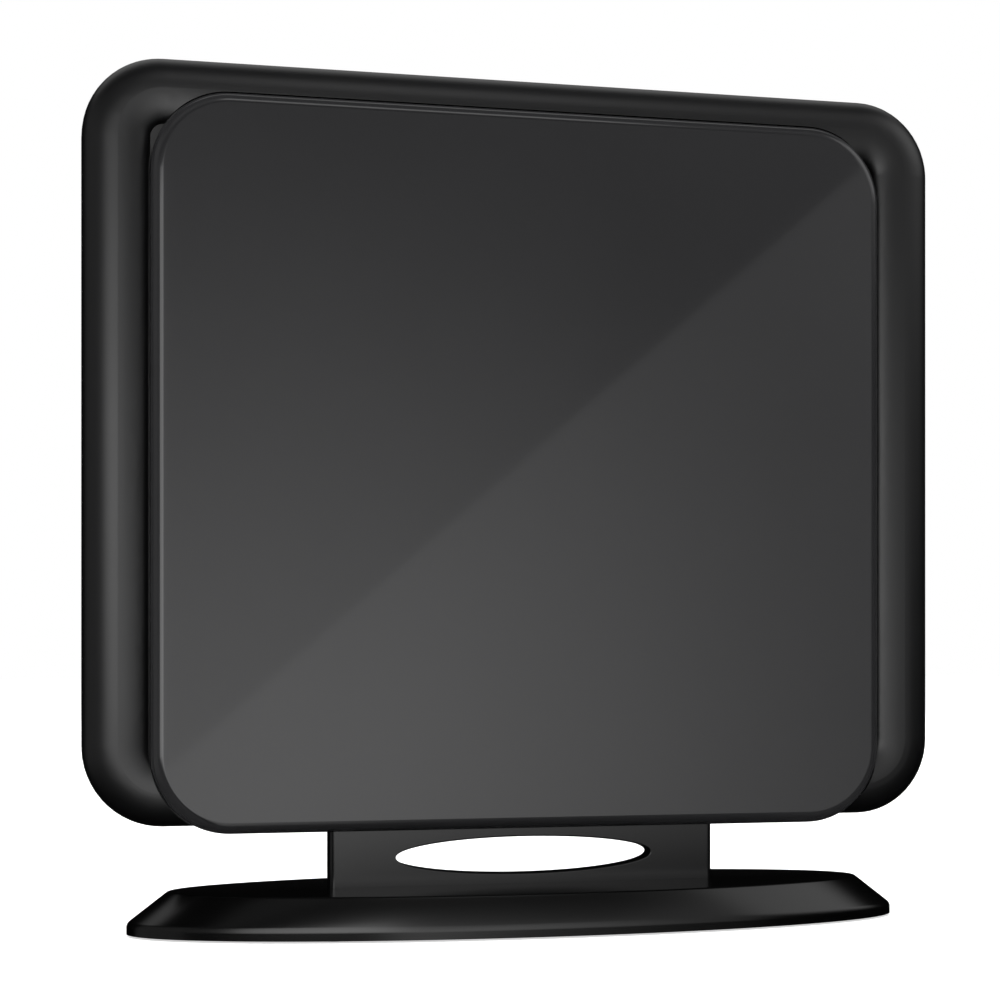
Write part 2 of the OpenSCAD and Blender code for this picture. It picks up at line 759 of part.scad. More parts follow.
module socket_washer() {
    color("silver") in_head() at_socket() difference() {
        cylinder(r = washer_r, h = washer_t);
        translate([0, 0, -cut]) cylinder(r = thread_r + slip, h = washer_t + 2 * cut);
    }
}

module socket_nut() {
    color("silver") in_head() at_socket() translate([0, 0, washer_t]) difference() {
        cylinder(r = nut_flats / 2 / cos(30), h = nut_t, $fn = 6);
        translate([0, 0, -cut]) cylinder(r = thread_r + snug, h = nut_t + 2 * cut);
    }
}

// Screws of the housing and of the tongue, at the bottom of their deep recesses
module case_screws() {
    neck_post_top = neck_back + slip / 2;
    color("dimgray") in_head() {
        at_spots(cover_spots) translate([0, 0, -post_split - case_floor_t])
            screw(case_screw_r, case_screw_l, case_head_r, case_head_t);
        at_spots(neck_screw_spots) translate([0, 0, -neck_post_top - case_floor_t])
            screw(case_screw_r, case_screw_l - slip, case_head_r, case_head_t);
    }
}

// Neck: the plate with its oval window, a tongue up into the head and a flange inside the base
module stand_neck() {
    flange_t = base_top - base_t - slip / 2 - flange_z;
    color("#3a3a3c") difference() {
        union() {
            translate([0, neck_y, flange_z])
                linear_extrude(base_top + neck_h - slip - flange_z) round_oblong(neck_w, neck_t, neck_edge_r);
            translate([0, neck_y, flange_z])
                linear_extrude(flange_t) round_oblong(flange_w, flange_d, neck_edge_r);
            translate([-tongue_w / 2, -tongue_front, base_top + neck_h - root])
                cube([tongue_w, tongue_front + neck_back, tongue_h + root]);
        }
        translate([0, neck_t + cut, base_top + window_up]) rotate([90, 0, 0])
            linear_extrude(2 * (neck_t + cut)) oval(window_w / 2, window_h / 2);
        in_head() at_spots(neck_screw_spots) translate([0, 0, -neck_back - cut])
            cylinder(r = case_screw_r + snug, h = neck_t + 2 * cut);
        at_spots(stand_screw_spots) translate([0, 0, flange_z - cut])
            cylinder(r = stand_screw_r + snug, h = stand_screw_l - plate_t - ballast_t + 1.5 * cut);
    }
}

// Oval with its half-width and half-depth
module oval(a, b) {
    scale([a, b]) circle(1);
}

// Oval drum with an upright side and a straight bevel up to its flat top
module base_form(a, b, side_h, top_a, h) {
    linear_extrude(side_h) oval(a, b);
    translate([0, 0, side_h]) scale([1, b / a, 1]) cylinder(r1 = a, r2 = top_a, h = h - side_h);
}

// Base moulding: the oval shell, its screw posts and the neck's slot
module base_cover() {
    top_a = base_a * base_top_share;
    color("#202022") difference() {
        translate([0, 0, base_z]) difference() {
            base_form(base_a, base_b, base_side_h, top_a, base_h);
            difference() {
                translate([0, 0, -cut]) base_form(base_a - base_t, base_b - base_t, base_side_h + cut,
                    top_a - base_t, base_h - base_t + cut);
                at_spots(base_post_spots) translate([0, 0, ballast_z - base_z])
                    cylinder(r = base_post_r, h = base_h);
            }
        }
        at_spots(base_post_spots) translate([0, 0, ballast_z - cut])
            cylinder(r = base_screw_r + snug, h = base_screw_l - plate_t + 1.5 * cut);
        translate([0, neck_y, base_top - base_t - cut]) linear_extrude(base_t + 2 * cut)
            round_oblong(neck_w + slip, neck_t + slip, neck_edge_r);
    }
}

// Steel plate that closes the base
module base_plate() {
    color("#2c2c2c") translate([0, 0, plate_z]) difference() {
        linear_extrude(plate_t) oval(plate_a, plate_b);
        at_spots(base_post_spots) translate([0, 0, -cut])
            cylinder(r = base_screw_r + slip, h = plate_t + 2 * cut);
        at_spots(stand_screw_spots) translate([0, 0, -cut])
            cylinder(r = stand_screw_r + slip, h = plate_t + 2 * cut);
    }
}

// Ballast that the neck stands on
module ballast_plate() {
    color("gray") translate([0, 0, ballast_z]) difference() {
        linear_extrude(ballast_t) oval(ballast_w / 2, ballast_d / 2);
        at_spots(stand_screw_spots) translate([0, 0, -cut])
            cylinder(r = stand_screw_r + slip, h = ballast_t + 2 * cut);
    }
}

module base_screws() {
    color("dimgray") at_spots(base_post_spots) translate([0, 0, plate_z])
        screw(base_screw_r, base_screw_l, 2 * base_screw_r, screw_head_t);
}

module stand_screws() {
    color("dimgray") at_spots(stand_screw_spots) translate([0, 0, plate_z])
        screw(stand_screw_r, stand_screw_l, 2 * stand_screw_r, screw_head_t);
}

// One rubber pad under the closing plate
module foot(side_x, side_y) {
    foot_x = (plate_a - foot_edge_gap) * cos(foot_angle);
    foot_y = (plate_b - foot_edge_gap) * sin(foot_angle);
    color("#181818") translate([side_x * foot_x, side_y * foot_y, 0]) cylinder(r = foot_r, h = foot_t);
}

module foot_front_left() {
    foot(-1, -1);
}

module foot_front_right() {
    foot(1, -1);
}

module foot_rear_left() {
    foot(-1, 1);
}

module foot_rear_right() {
    foot(1, 1);
}

face_panel();
front_bezel();
rear_cover();
element_board();
uhf_wing_left();
uhf_wing_right();
vhf_loop();
element_rivets();
reflector_plate();
board_screws();
balun_can();
balun_core();
feed_pins();
feed_lead();
socket_body();
socket_insulator();
socket_contact();
socket_washer();
socket_nut();
case_screws();
stand_neck();
base_cover();
base_plate();
ballast_plate();
base_screws();
stand_screws();
foot_front_left();
foot_front_right();
foot_rear_left();
foot_rear_right();
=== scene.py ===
"""An indoor TV antenna: a black head with a rolled rim and a raised glossy face, on a neck with an oval
window and a weighted oval base."""

import math

import bmesh
import bpy
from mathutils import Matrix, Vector


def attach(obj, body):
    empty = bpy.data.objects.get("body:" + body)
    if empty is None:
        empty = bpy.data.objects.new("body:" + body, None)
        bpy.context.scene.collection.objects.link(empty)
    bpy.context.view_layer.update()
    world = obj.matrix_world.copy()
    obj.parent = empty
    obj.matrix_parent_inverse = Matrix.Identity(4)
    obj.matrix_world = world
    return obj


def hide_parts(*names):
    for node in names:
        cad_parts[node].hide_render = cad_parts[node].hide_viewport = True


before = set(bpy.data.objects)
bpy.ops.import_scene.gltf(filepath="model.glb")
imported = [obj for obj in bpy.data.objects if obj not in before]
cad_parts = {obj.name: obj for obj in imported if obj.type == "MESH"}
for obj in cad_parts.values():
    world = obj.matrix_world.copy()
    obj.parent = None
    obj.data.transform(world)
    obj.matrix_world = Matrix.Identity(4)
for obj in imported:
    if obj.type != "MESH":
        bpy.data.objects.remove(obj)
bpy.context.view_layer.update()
bpy.ops.object.select_all(action="DESELECT")

# Camera
# It stands left of the middle, a little above the base, and looks level. The small rise of the lens
# frames the head without tilting its upright edges.
CAMERA_PLACE = (-0.2334, -0.8644, 0.1100)
CAMERA_TURN = 14.54
CAMERA_LENS = 82.5
CAMERA_RISE = 0.1425
NEAREST = 0.01

bpy.ops.object.camera_add(location=CAMERA_PLACE, rotation=(math.radians(90), 0, math.radians(-CAMERA_TURN)))
camera = bpy.context.object
camera.name = "camera"
camera.data.lens = CAMERA_LENS
camera.data.shift_y = CAMERA_RISE
camera.data.clip_start = NEAREST
bpy.context.scene.camera = camera
bpy.context.scene.view_settings.view_transform = "Standard"


# Floor
# A sheet of matt white paper that runs out of the picture. It keeps the antenna's shadow.
def srgb(hex_colour):
    """Linear colour of an sRGB hex value."""
    parts = [int(hex_colour[i : i + 2], 16) / 255 for i in (1, 3, 5)]
    return tuple(p / 12.92 if p <= 0.04045 else ((p + 0.055) / 1.055) ** 2.4 for p in parts) + (1.0,)


def add_node(tree, kind, settings=None, links=None):
    """Adds a node with its settings, by property or socket name, and its incoming links."""
    node = tree.nodes.new(kind)
    for key, value in (settings or {}).items():
        if isinstance(key, str) and hasattr(node, key):
            setattr(node, key, value)
        else:
            node.inputs[key].default_value = value
    for key, output in (links or {}).items():
        tree.links.new(output, node.inputs[key])
    return node


def new_material(name):
    """An empty node material and its tree."""
    material = bpy.data.materials.new(name)
    material.use_nodes = True
    material.node_tree.nodes.clear()
    return material, material.node_tree


# The camera alone sees the paper lifted to white, out to the horizon
FLOOR_COLOUR = "#f4f4f4"
FLOOR_SIZE = 12.0
FLOOR_LIFT = 0.62

bpy.ops.mesh.primitive_plane_add(size=FLOOR_SIZE)
floor = bpy.context.object
floor.name = "floor"
paper, tree = new_material("matt white paper")
light_path = add_node(tree, "ShaderNodeLightPath")
diffuse = add_node(tree, "ShaderNodeBsdfDiffuse", {"Color": srgb(FLOOR_COLOUR)})
seen = add_node(tree, "ShaderNodeMath", {"operation": "MULTIPLY", 1: FLOOR_LIFT},
                {0: light_path.outputs["Is Camera Ray"]})
lift = add_node(tree, "ShaderNodeEmission", {"Color": (1, 1, 1, 1)}, {"Strength": seen.outputs[0]})
total = add_node(tree, "ShaderNodeAddShader", {}, {0: diffuse.outputs[0], 1: lift.outputs[0]})
add_node(tree, "ShaderNodeOutputMaterial", {}, {"Surface": total.outputs[0]})
floor.data.materials.append(paper)
floor.visible_glossy = False

# Room
# White behind everything, and a dim even light from all round for the matt part of each finish.
ROOM_LIGHT = 0.45

world = bpy.data.worlds.new("white room")
bpy.context.scene.world = world
world.use_nodes = True
tree = world.node_tree
tree.nodes.clear()
light_path = add_node(tree, "ShaderNodeLightPath")
seen = add_node(tree, "ShaderNodeMath", {"operation": "MAXIMUM"},
                {0: light_path.outputs["Is Camera Ray"], 1: light_path.outputs["Is Glossy Ray"]})
seen = add_node(tree, "ShaderNodeMath", {"operation": "MAXIMUM"},
                {0: seen.outputs[0], 1: light_path.outputs["Is Transmission Ray"]})
level = add_node(tree, "ShaderNodeMapRange", {"To Min": ROOM_LIGHT, "To Max": 1.0},
                 {"Value": seen.outputs[0]})
background = add_node(tree, "ShaderNodeBackground", {"Color": (1, 1, 1, 1)}, {"Strength": level.outputs[0]})
add_node(tree, "ShaderNodeOutputWorld", {}, {"Surface": background.outputs[0]})


# Lamps
# Four broad soft lamps, which the gloss doesn't mirror. They light the matt part of each finish, and the
# overhead one gives the floor its shadow.
def add_lamp(name, place, size, power):
    """A soft rectangular lamp that points at the middle of the head."""
    bpy.ops.object.light_add(type="AREA", location=place)
    lamp = bpy.context.object
    lamp.name = name
    lamp.data.shape = "RECTANGLE"
    lamp.data.size, lamp.data.size_y = size
    lamp.data.energy = power
    lamp.rotation_euler = (Vector(LAMP_TARGET) - Vector(place)).to_track_quat("-Z", "Y").to_euler()
    lamp.visible_glossy = False


LAMP_TARGET = (0, 0, 0.17)
# Name, place and size in metres, and power in watts
LAMPS = (
    ("overhead lamp", (-0.1, -0.5, 2.2), (2.4, 1.8), 42),
    ("left lamp", (-1.8, -1.4, 1.0), (1.4, 1.4), 12),
    ("right lamp", (1.8, -1.2, 0.9), (1.2, 1.2), 8),
    ("rear lamp", (0.5, 2.0, 1.4), (1.6, 1.6), 24),
)

for name, place, size, power in LAMPS:
    add_lamp(name, place, size, power)


# Reflection tent
# Black cloth all round, which only the gloss sees. A soft light hangs in it high on the right, a dim one
# on the left, and two behind the head that show its back.
def soft_edge(tree, output, centre, half, soft):
    """1 within half of the centre, fading to 0 over the soft width."""
    away = add_node(tree, "ShaderNodeMath", {"operation": "SUBTRACT", 1: centre}, {0: output})
    away = add_node(tree, "ShaderNodeMath", {"operation": "ABSOLUTE"}, {0: away.outputs[0]})
    fade = add_node(tree, "ShaderNodeMapRange",
                    {"interpolation_type": "SMOOTHSTEP", "From Min": half, "From Max": half + soft,
                     "To Min": 1.0, "To Max": 0.0}, {"Value": away.outputs[0]})
    return fade.outputs[0]


def add_patch(tree, total, across, up, centre, half, soft, level):
    """Adds a soft-edged lit patch to a running total of light."""
    wide = soft_edge(tree, across, centre[0], half[0], soft[0])
    high = soft_edge(tree, up, centre[1], half[1], soft[1])
    both = add_node(tree, "ShaderNodeMath", {"operation": "MULTIPLY"}, {0: wide, 1: high})
    return add_node(tree, "ShaderNodeMath", {"operation": "MULTIPLY_ADD", 1: level},
                    {0: both.outputs[0], 2: total}).outputs[0]


def hide_from_all_but_gloss(card):
    """Only reflections see a card, and it casts no shadow."""
    card.visible_camera = False
    card.visible_diffuse = False
    card.visible_transmission = False
    card.visible_volume_scatter = False
    card.visible_shadow = False


TENT_RADIUS = 4.0
TENT_DARK = 0.002
TENT_SEGMENTS = 48
# Centre (turn to the right and height), half-size and soft edge of each light in degrees, and its level
TENT_LIGHTS = (
    ((66, 32), (14, 8), (22, 15), 1.25),
    ((-72, 10), (24, 20), (22, 20), 0.24),
    ((150, 62), (34, 12), (18, 14), 0.8),
    ((-150, 62), (34, 12), (18, 14), 0.8),
)

bpy.ops.mesh.primitive_uv_sphere_add(segments=TENT_SEGMENTS, ring_count=TENT_SEGMENTS // 2,
                                     radius=TENT_RADIUS)
tent = bpy.context.object
tent.name = "tent"
cloth, tree = new_material("black tent cloth")
where = add_node(tree, "ShaderNodeTexCoord")
axes = add_node(tree, "ShaderNodeSeparateXYZ", {}, {0: where.outputs["Object"]})
front = add_node(tree, "ShaderNodeMath", {"operation": "MULTIPLY", 1: -1.0}, {0: axes.outputs["Y"]})
turn = add_node(tree, "ShaderNodeMath", {"operation": "ARCTAN2"}, {0: axes.outputs["X"], 1: front.outputs[0]})
rise = add_node(tree, "ShaderNodeMath", {"operation": "DIVIDE", 1: TENT_RADIUS}, {0: axes.outputs["Z"]})
rise = add_node(tree, "ShaderNodeMath", {"operation": "ARCSINE"}, {0: rise.outputs[0]})
dark = add_node(tree, "ShaderNodeValue")
dark.outputs[0].default_value = TENT_DARK
light = dark.outputs[0]
for centre, half, soft, level in TENT_LIGHTS:
    centre, half, soft = ([math.radians(angle) for angle in pair] for pair in (centre, half, soft))
    light = add_patch(tree, light, turn.outputs[0], rise.outputs[0], centre, half, soft, level)
glow = add_node(tree, "ShaderNodeEmission", {"Color": (1, 1, 1, 1)}, {"Strength": light})
add_node(tree, "ShaderNodeOutputMaterial", {}, {"Surface": glow.outputs[0]})
tent.data.materials.append(cloth)
hide_from_all_but_gloss(tent)

# Front light panel
# A translucent screen close before the head. A lamp glows through it where the face's lower left corner
# mirrors it, a second sheet with a slanted edge gives the glare on the face, and two strips light the rim.
PANEL_PLACE = (-0.10, -0.60, 0.42)
PANEL_SIZE = (1.50, 1.70)
# How far before the screen's left and right ends its light starts to fade, and over what width
PANEL_MARGIN = 0.08
PANEL_FADE = 0.07
# The glow's centre in x and z, how far it reaches, and its level there and beyond
GLOW_CENTRE = (-0.023, -0.021)
GLOW_REACH = 0.52
GLOW_LEVEL = 1.58
GLOW_REST = 0.18
# A point on the glare's edge, and the direction across that edge, in x and z
GLARE_POINT = (-0.0764, 0.0302)
GLARE_ACROSS = (0.6496, -0.7603)
GLARE_SOFT = 0.0006
GLARE_LEVEL = 0.30
# Centre, half-size and soft edge of each strip in metres, and its level
PANEL_STRIPS = (
    ((-0.275, 0.22), (0.180, 0.17), (0.020, 0.05), 2.25),
    ((0.12, 0.90), (0.14, 0.12), (0.10, 0.08), 1.5),
)
# The part below the face is shaded towards the right, so the neck darkens that way, and on the far left, so
# the rim's lower corner goes dark. A band above the face is shaded too, and the base's bevel mirrors that
PANEL_SHADES = (
    ((0.42, -0.235), (0.24, 0.20), (0.42, 0.02), -0.92),
    ((-0.50, -0.25), (0.38, 0.23), (0.05, 0.03), -0.92),
    ((-0.20, 0.62), (0.55, 0.10), (0.10, 0.05), -0.92),
)

bpy.ops.mesh.primitive_plane_add(size=1, location=PANEL_PLACE, rotation=(math.radians(90), 0, 0))
panel = bpy.context.object
panel.name = "front panel"
panel.scale = (*PANEL_SIZE, 1)
bpy.ops.object.transform_apply(location=True, rotation=True, scale=True)
screen, tree = new_material("lit front screen")
where = add_node(tree, "ShaderNodeTexCoord")
axes = add_node(tree, "ShaderNodeSeparateXYZ", {}, {0: where.outputs["Object"]})
offset = add_node(tree, "ShaderNodeVectorMath", {"operation": "SUBTRACT"}, {0: where.outputs["Object"]})
offset.inputs[1].default_value = (GLOW_CENTRE[0], PANEL_PLACE[1], GLOW_CENTRE[1])
length = add_node(tree, "ShaderNodeVectorMath", {"operation": "LENGTH"}, {0: offset.outputs[0]})
fall = add_node(tree, "ShaderNodeMapRange",
                {"interpolation_type": "SMOOTHSTEP", "From Min": 0.0, "From Max": GLOW_REACH,
                 "To Min": GLOW_LEVEL, "To Max": GLOW_REST}, {"Value": length.outputs["Value"]})
across = add_node(tree, "ShaderNodeVectorMath", {"operation": "DOT_PRODUCT"}, {0: where.outputs["Object"]})
across.inputs[1].default_value = (GLARE_ACROSS[0], 0, GLARE_ACROSS[1])
glare_line = GLARE_POINT[0] * GLARE_ACROSS[0] + GLARE_POINT[1] * GLARE_ACROSS[1]
glare = add_node(tree, "ShaderNodeMapRange",
                 {"From Min": glare_line - GLARE_SOFT, "From Max": glare_line + GLARE_SOFT,
                  "To Min": 0.0, "To Max": GLARE_LEVEL}, {"Value": across.outputs["Value"]})
both = add_node(tree, "ShaderNodeMath", {"operation": "ADD"}, {0: fall.outputs[0], 1: glare.outputs[0]})
light = both.outputs[0]
for centre, half, soft, level in PANEL_STRIPS:
    light = add_patch(tree, light, axes.outputs["X"], axes.outputs["Z"], centre, half, soft, level)
inner = soft_edge(tree, axes.outputs["X"], PANEL_PLACE[0], PANEL_SIZE[0] / 2 - PANEL_MARGIN, PANEL_FADE)
light = add_node(tree, "ShaderNodeMath", {"operation": "MULTIPLY"}, {0: light, 1: inner}).outputs[0]
whole = add_node(tree, "ShaderNodeValue")
whole.outputs[0].default_value = 1.0
left_over = whole.outputs[0]
for centre, half, soft, level in PANEL_SHADES:
    left_over = add_patch(tree, left_over, axes.outputs["X"], axes.outputs["Z"], centre, half, soft, level)
light = add_node(tree, "ShaderNodeMath", {"operation": "MULTIPLY"}, {0: light, 1: left_over}).outputs[0]
glow = add_node(tree, "ShaderNodeEmission", {"Color": (1, 1, 1, 1)}, {"Strength": light})
add_node(tree, "ShaderNodeOutputMaterial", {}, {"Surface": glow.outputs[0]})
panel.data.materials.append(screen)
hide_from_all_but_gloss(panel)


# Face panel
# The raised fascia: one shallow tray of polished dark grey ABS, snapped into its pocket in the front half.
# Its flat mirrors the light, and its edge is rounded all the way round.
def select_only(piece):
    """Makes one piece the selected and active one."""
    bpy.ops.object.select_all(action="DESELECT")
    piece.select_set(True)
    bpy.context.view_layer.objects.active = piece


def begin_edit(piece):
    """Puts one piece in edit mode with nothing selected, to pick corners."""
    bpy.context.tool_settings.mesh_select_mode = (True, False, False)
    select_only(piece)
    bpy.ops.object.mode_set(mode="EDIT")
    bpy.ops.mesh.select_all(action="DESELECT")


def choose(piece, parts, test):
    """Selects just those verts, edges or faces of the piece in edit mode whose corners pass a test."""
    bpy.context.tool_settings.mesh_select_mode = tuple(parts == kind for kind in ("verts", "edges", "faces"))
    bpy.ops.mesh.select_all(action="DESELECT")
    mesh = bmesh.from_edit_mesh(piece.data)
    for part in getattr(mesh, parts):
        corners = [part.co] if parts == "verts" else [vert.co for vert in part.verts]
        if test(*corners):
            part.select_set(True)
    mesh.select_flush_mode()
    bmesh.update_edit_mesh(piece.data)


def near(a, b):
    """At one place, to a hundredth of a millimetre."""
    return abs(a - b) < SAME_PLACE


def round_off(piece, parts, test, radius, segments):
    """Rounds the chosen edges or corners."""
    choose(piece, parts, test)
    affect = "VERTICES" if parts == "verts" else "EDGES"
    bpy.ops.mesh.bevel(offset=radius, segments=segments, affect=affect, profile=0.5, clamp_overlap=True)


def end_edit():
    """Leaves edit mode."""
    bpy.ops.object.mode_set(mode="OBJECT")


def apply_modifier(piece, kind, **settings):
    """Adds a modifier and applies it."""
    select_only(piece)
    modifier = piece.modifiers.new(kind.lower(), kind)
    for key, value in settings.items():
        setattr(modifier, key, value)
    bpy.ops.object.modifier_apply(modifier=modifier.name)


def shades(colour, spread):
    """A darker and a paler shade of an sRGB hex colour, by a share of its light."""
    plain = srgb(colour)[:3]
    return [tuple(min(1, part * step) for part in plain) + (1.0,) for step in (1 - spread, 1 + spread)]


def moulded_plastic(name, colour, roughness, grain=0, depth=0, ior=1.5):
    """Moulded plastic: faint clouds in its tone and gloss, and a grain of a size and depth in millimetres."""
    material, tree = new_material(name)
    where = add_node(tree, "ShaderNodeTexCoord")
    clouds = add_node(tree, "ShaderNodeTexNoise", {"Scale": METRE_MM / CLOUD_MM, "Detail": 2.0},
                      {"Vector": where.outputs["Object"]})
    dark, pale = shades(colour, CLOUD_SPREAD)
    tone = add_node(tree, "ShaderNodeMix", {"data_type": "RGBA", 6: dark, 7: pale},
                    {0: clouds.outputs["Fac"]})
    gloss = add_node(tree, "ShaderNodeMapRange",
                     {"To Min": roughness * (1 - CLOUD_SPREAD), "To Max": roughness * (1 + CLOUD_SPREAD)},
                     {"Value": clouds.outputs["Fac"]})
    body = add_node(tree, "ShaderNodeBsdfPrincipled", {"IOR": ior},
                    {"Base Color": tone.outputs[2], "Roughness": gloss.outputs[0]})
    if depth:
        pits = add_node(tree, "ShaderNodeTexNoise", {"Scale": METRE_MM / grain, "Detail": 3.0},
                        {"Vector": where.outputs["Object"]})
        bump = add_node(tree, "ShaderNodeBump", {"Strength": 1.0, "Distance": depth / METRE_MM},
                        {"Height": pits.outputs["Fac"]})
        tree.links.new(bump.outputs[0], body.inputs["Normal"])
    add_node(tree, "ShaderNodeOutputMaterial", {}, {"Surface": body.outputs[0]})
    return material


def dress(piece, node, material, angle=40):
    """Shades a new piece and lets it stand for a CAD node, on the one body, in its finish."""
    select_only(piece)
    bpy.ops.object.shade_smooth_by_angle(angle=math.radians(angle))
    apply_modifier(piece, "WEIGHTED_NORMAL", keep_sharp=True)
    piece.data.materials.clear()
    piece.data.materials.append(material)
    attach(piece, "root")
    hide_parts(node)


def paint_node(name, material):
    """Gives a CAD node its finish."""
    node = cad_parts[name]
    node.data.materials.clear()
    node.data.materials.append(material)


METRE_MM = 1000
SAME_PLACE = 0.00001
# A moulding's clouds: their size, and the share by which they change its tone and gloss
CLOUD_MM = 60
CLOUD_SPREAD = 0.08
FACE_SIZE = (0.2910, 0.2777)
FACE_MIDDLE = 0.17705
FACE_BACK = -0.0035
FACE_FRONT = -0.0122
FACE_CORNER = 0.030
FACE_CORNER_SEGMENTS = 24
FACE_EDGE = 0.0045
FACE_EDGE_SEGMENTS = 8
FACE_WALL = 0.0022

# Polished ABS: the tool's mirror finish gives a clear reflection over a dark grey body
polished_abs = moulded_plastic("polished dark grey ABS", "#252526", 0.05)

bpy.ops.mesh.primitive_plane_add(size=1, location=(0, FACE_BACK, FACE_MIDDLE),
                                 rotation=(math.radians(90), 0, 0))
face = bpy.context.object
face.name = "face"
face.scale = (*FACE_SIZE, 1)
bpy.ops.object.transform_apply(location=True, rotation=True, scale=True)
begin_edit(face)
round_off(face, "verts", lambda a: True, FACE_CORNER, FACE_CORNER_SEGMENTS)
choose(face, "faces", lambda *corners: True)
bpy.ops.mesh.extrude_region_move(TRANSFORM_OT_translate={"value": (0, FACE_FRONT - FACE_BACK, 0)})
round_off(face, "edges", lambda a, b: near(a.y, FACE_FRONT) and near(b.y, FACE_FRONT), FACE_EDGE,
          FACE_EDGE_SEGMENTS)
choose(face, "faces", lambda *corners: all(near(v.y, FACE_BACK) for v in corners))
bpy.ops.mesh.delete(type="FACE")
end_edit()
apply_modifier(face, "SOLIDIFY", thickness=FACE_WALL, offset=-1)
dress(face, "face_panel", polished_abs)

# Front half
# The rolled rim and the seat behind the face, moulded in one piece of black ABS. It is the CAD node itself.

# ABS from a finely blasted tool: a soft gloss that spreads each light into a broad pale band
soft_gloss_abs = moulded_plastic("soft gloss black ABS", "#050506", 0.40, ior=1.6)
paint_node("front_bezel", soft_gloss_abs)

# Rear half
# The back of the housing, moulded in black ABS with the posts for the screws and the socket's hole. It is
# the CAD node itself.

# ABS from a spark-eroded tool: a fine even grain that looks matt. It is drawn at 0.9 mm, coarser than the
# real 0.3 mm, so that it shows
grained_abs = moulded_plastic("grained black ABS", "#0c0c0d", 0.5, grain=0.9, depth=0.03)
paint_node("rear_cover", grained_abs)


# Neck
# A flat plate of satin dark ABS with an oval window through it. A tongue runs up into the head and a flange
# sits under the base moulding, where screws hold them.
def add_block(name, low, high):
    """A rectangular block between two corners."""
    middle = [(a + b) / 2 for a, b in zip(low, high)]
    bpy.ops.mesh.primitive_cube_add(size=1, location=middle)
    block = bpy.context.object
    block.name = name
    block.scale = [b - a for a, b in zip(low, high)]
    bpy.ops.object.transform_apply(location=True, rotation=True, scale=True)
    return block


def join_solid(piece, other, operation):
    """Cuts a piece with another solid, or fuses the two, and deletes the other."""
    apply_modifier(piece, "BOOLEAN", operation=operation, solver="EXACT", object=other)
    bpy.data.objects.remove(other)


NECK_X = 0.077
NECK_Y = (-0.0032, 0.0048)
NECK_Z = (0.0083, 0.0407)
NECK_EDGE = 0.002
NECK_EDGE_SEGMENTS = 6
WINDOW_HALF = (0.0512, 0.0071)
WINDOW_Z = 0.0274
WINDOW_SIDES = 128
WINDOW_EDGE = 0.0006
WINDOW_EDGE_SEGMENTS = 3
# The window's cutter is this long, and its mouth is looked for within this share of its half-size
WINDOW_CUT = 0.0192
WINDOW_REACH = 1.01
FLANGE_LOW = (-0.084, -0.0162, 0.0083)
FLANGE_HIGH = (0.084, 0.0178, 0.0141)
TONGUE_LOW = (-0.070, -0.0010, 0.0399)
TONGUE_HIGH = (0.070, 0.0048, 0.0709)

# Satin ABS: a fine even grain that breaks the mirror into a soft sheen
satin_abs = moulded_plastic("satin dark ABS", "#0a0a0b", 0.17, grain=0.6, depth=0.001)

neck = add_block("neck", (-NECK_X, NECK_Y[0], NECK_Z[0]), (NECK_X, NECK_Y[1], NECK_Z[1]))
begin_edit(neck)
round_off(neck, "edges", lambda a, b: near(a.x, b.x) and near(a.y, b.y), NECK_EDGE, NECK_EDGE_SEGMENTS)
end_edit()
bpy.ops.mesh.primitive_cylinder_add(vertices=WINDOW_SIDES, radius=1, depth=WINDOW_CUT,
                                    location=(0, 0, WINDOW_Z), rotation=(math.radians(90), 0, 0))
window = bpy.context.object
window.scale = (*WINDOW_HALF, 1)
bpy.ops.object.transform_apply(location=True, rotation=True, scale=True)
join_solid(neck, window, "DIFFERENCE")


def on_window_edge(a, b):
    """An edge of the window's mouth, front or back."""
    at_mouth = any(near(a.y, y) and near(b.y, y) for y in NECK_Y)
    shares = [math.hypot(v.x / WINDOW_HALF[0], (v.z - WINDOW_Z) / WINDOW_HALF[1]) for v in (a, b)]
    return at_mouth and max(shares) < WINDOW_REACH


begin_edit(neck)
round_off(neck, "edges", on_window_edge, WINDOW_EDGE, WINDOW_EDGE_SEGMENTS)
end_edit()
join_solid(neck, add_block("flange", FLANGE_LOW, FLANGE_HIGH), "UNION")
join_solid(neck, add_block("tongue", TONGUE_LOW, TONGUE_HIGH), "UNION")
dress(neck, "stand_neck", satin_abs)

# Base cover
# The oval base moulding in polished black ABS: an upright side, a bevel that swells slightly, and a flat
# top with the neck's slot. Its edges are softened, and the long one catches the light as a thin pale line.
BASE_SIDES = 192
BASE_HALF = (0.15350, 0.04650)
BASE_FOOT = 0.0008
BASE_SIDE_TOP = 0.0048
BASE_TOP = 0.0164
# Half-width, half-depth and height of each step of the form
BASE_STEPS = (
    (*BASE_HALF, BASE_FOOT),
    (*BASE_HALF, BASE_SIDE_TOP),
    (0.14966, 0.04558, 0.0077),
    (0.14583, 0.04448, 0.0106),
    (0.14199, 0.04322, 0.0135),
    (0.13815, 0.04185, BASE_TOP),
)
BASE_WALL = 0.0022
BASE_SIDE_EDGE = 0.0013
BASE_SIDE_SEGMENTS = 6
BASE_TOP_EDGE = 0.0007
BASE_TOP_SEGMENTS = 4
# The slot's cutter is a snug gap wider than the neck and stands well clear of the top
SLOT_GAP = 0.0001
SLOT_FOOT = 0.0106
SLOT_HEAD = 0.0328

# ABS from a polished tool: deep black, with soft but clear lights along its edges
gloss_abs = moulded_plastic("polished black ABS", "#030303", 0.22)

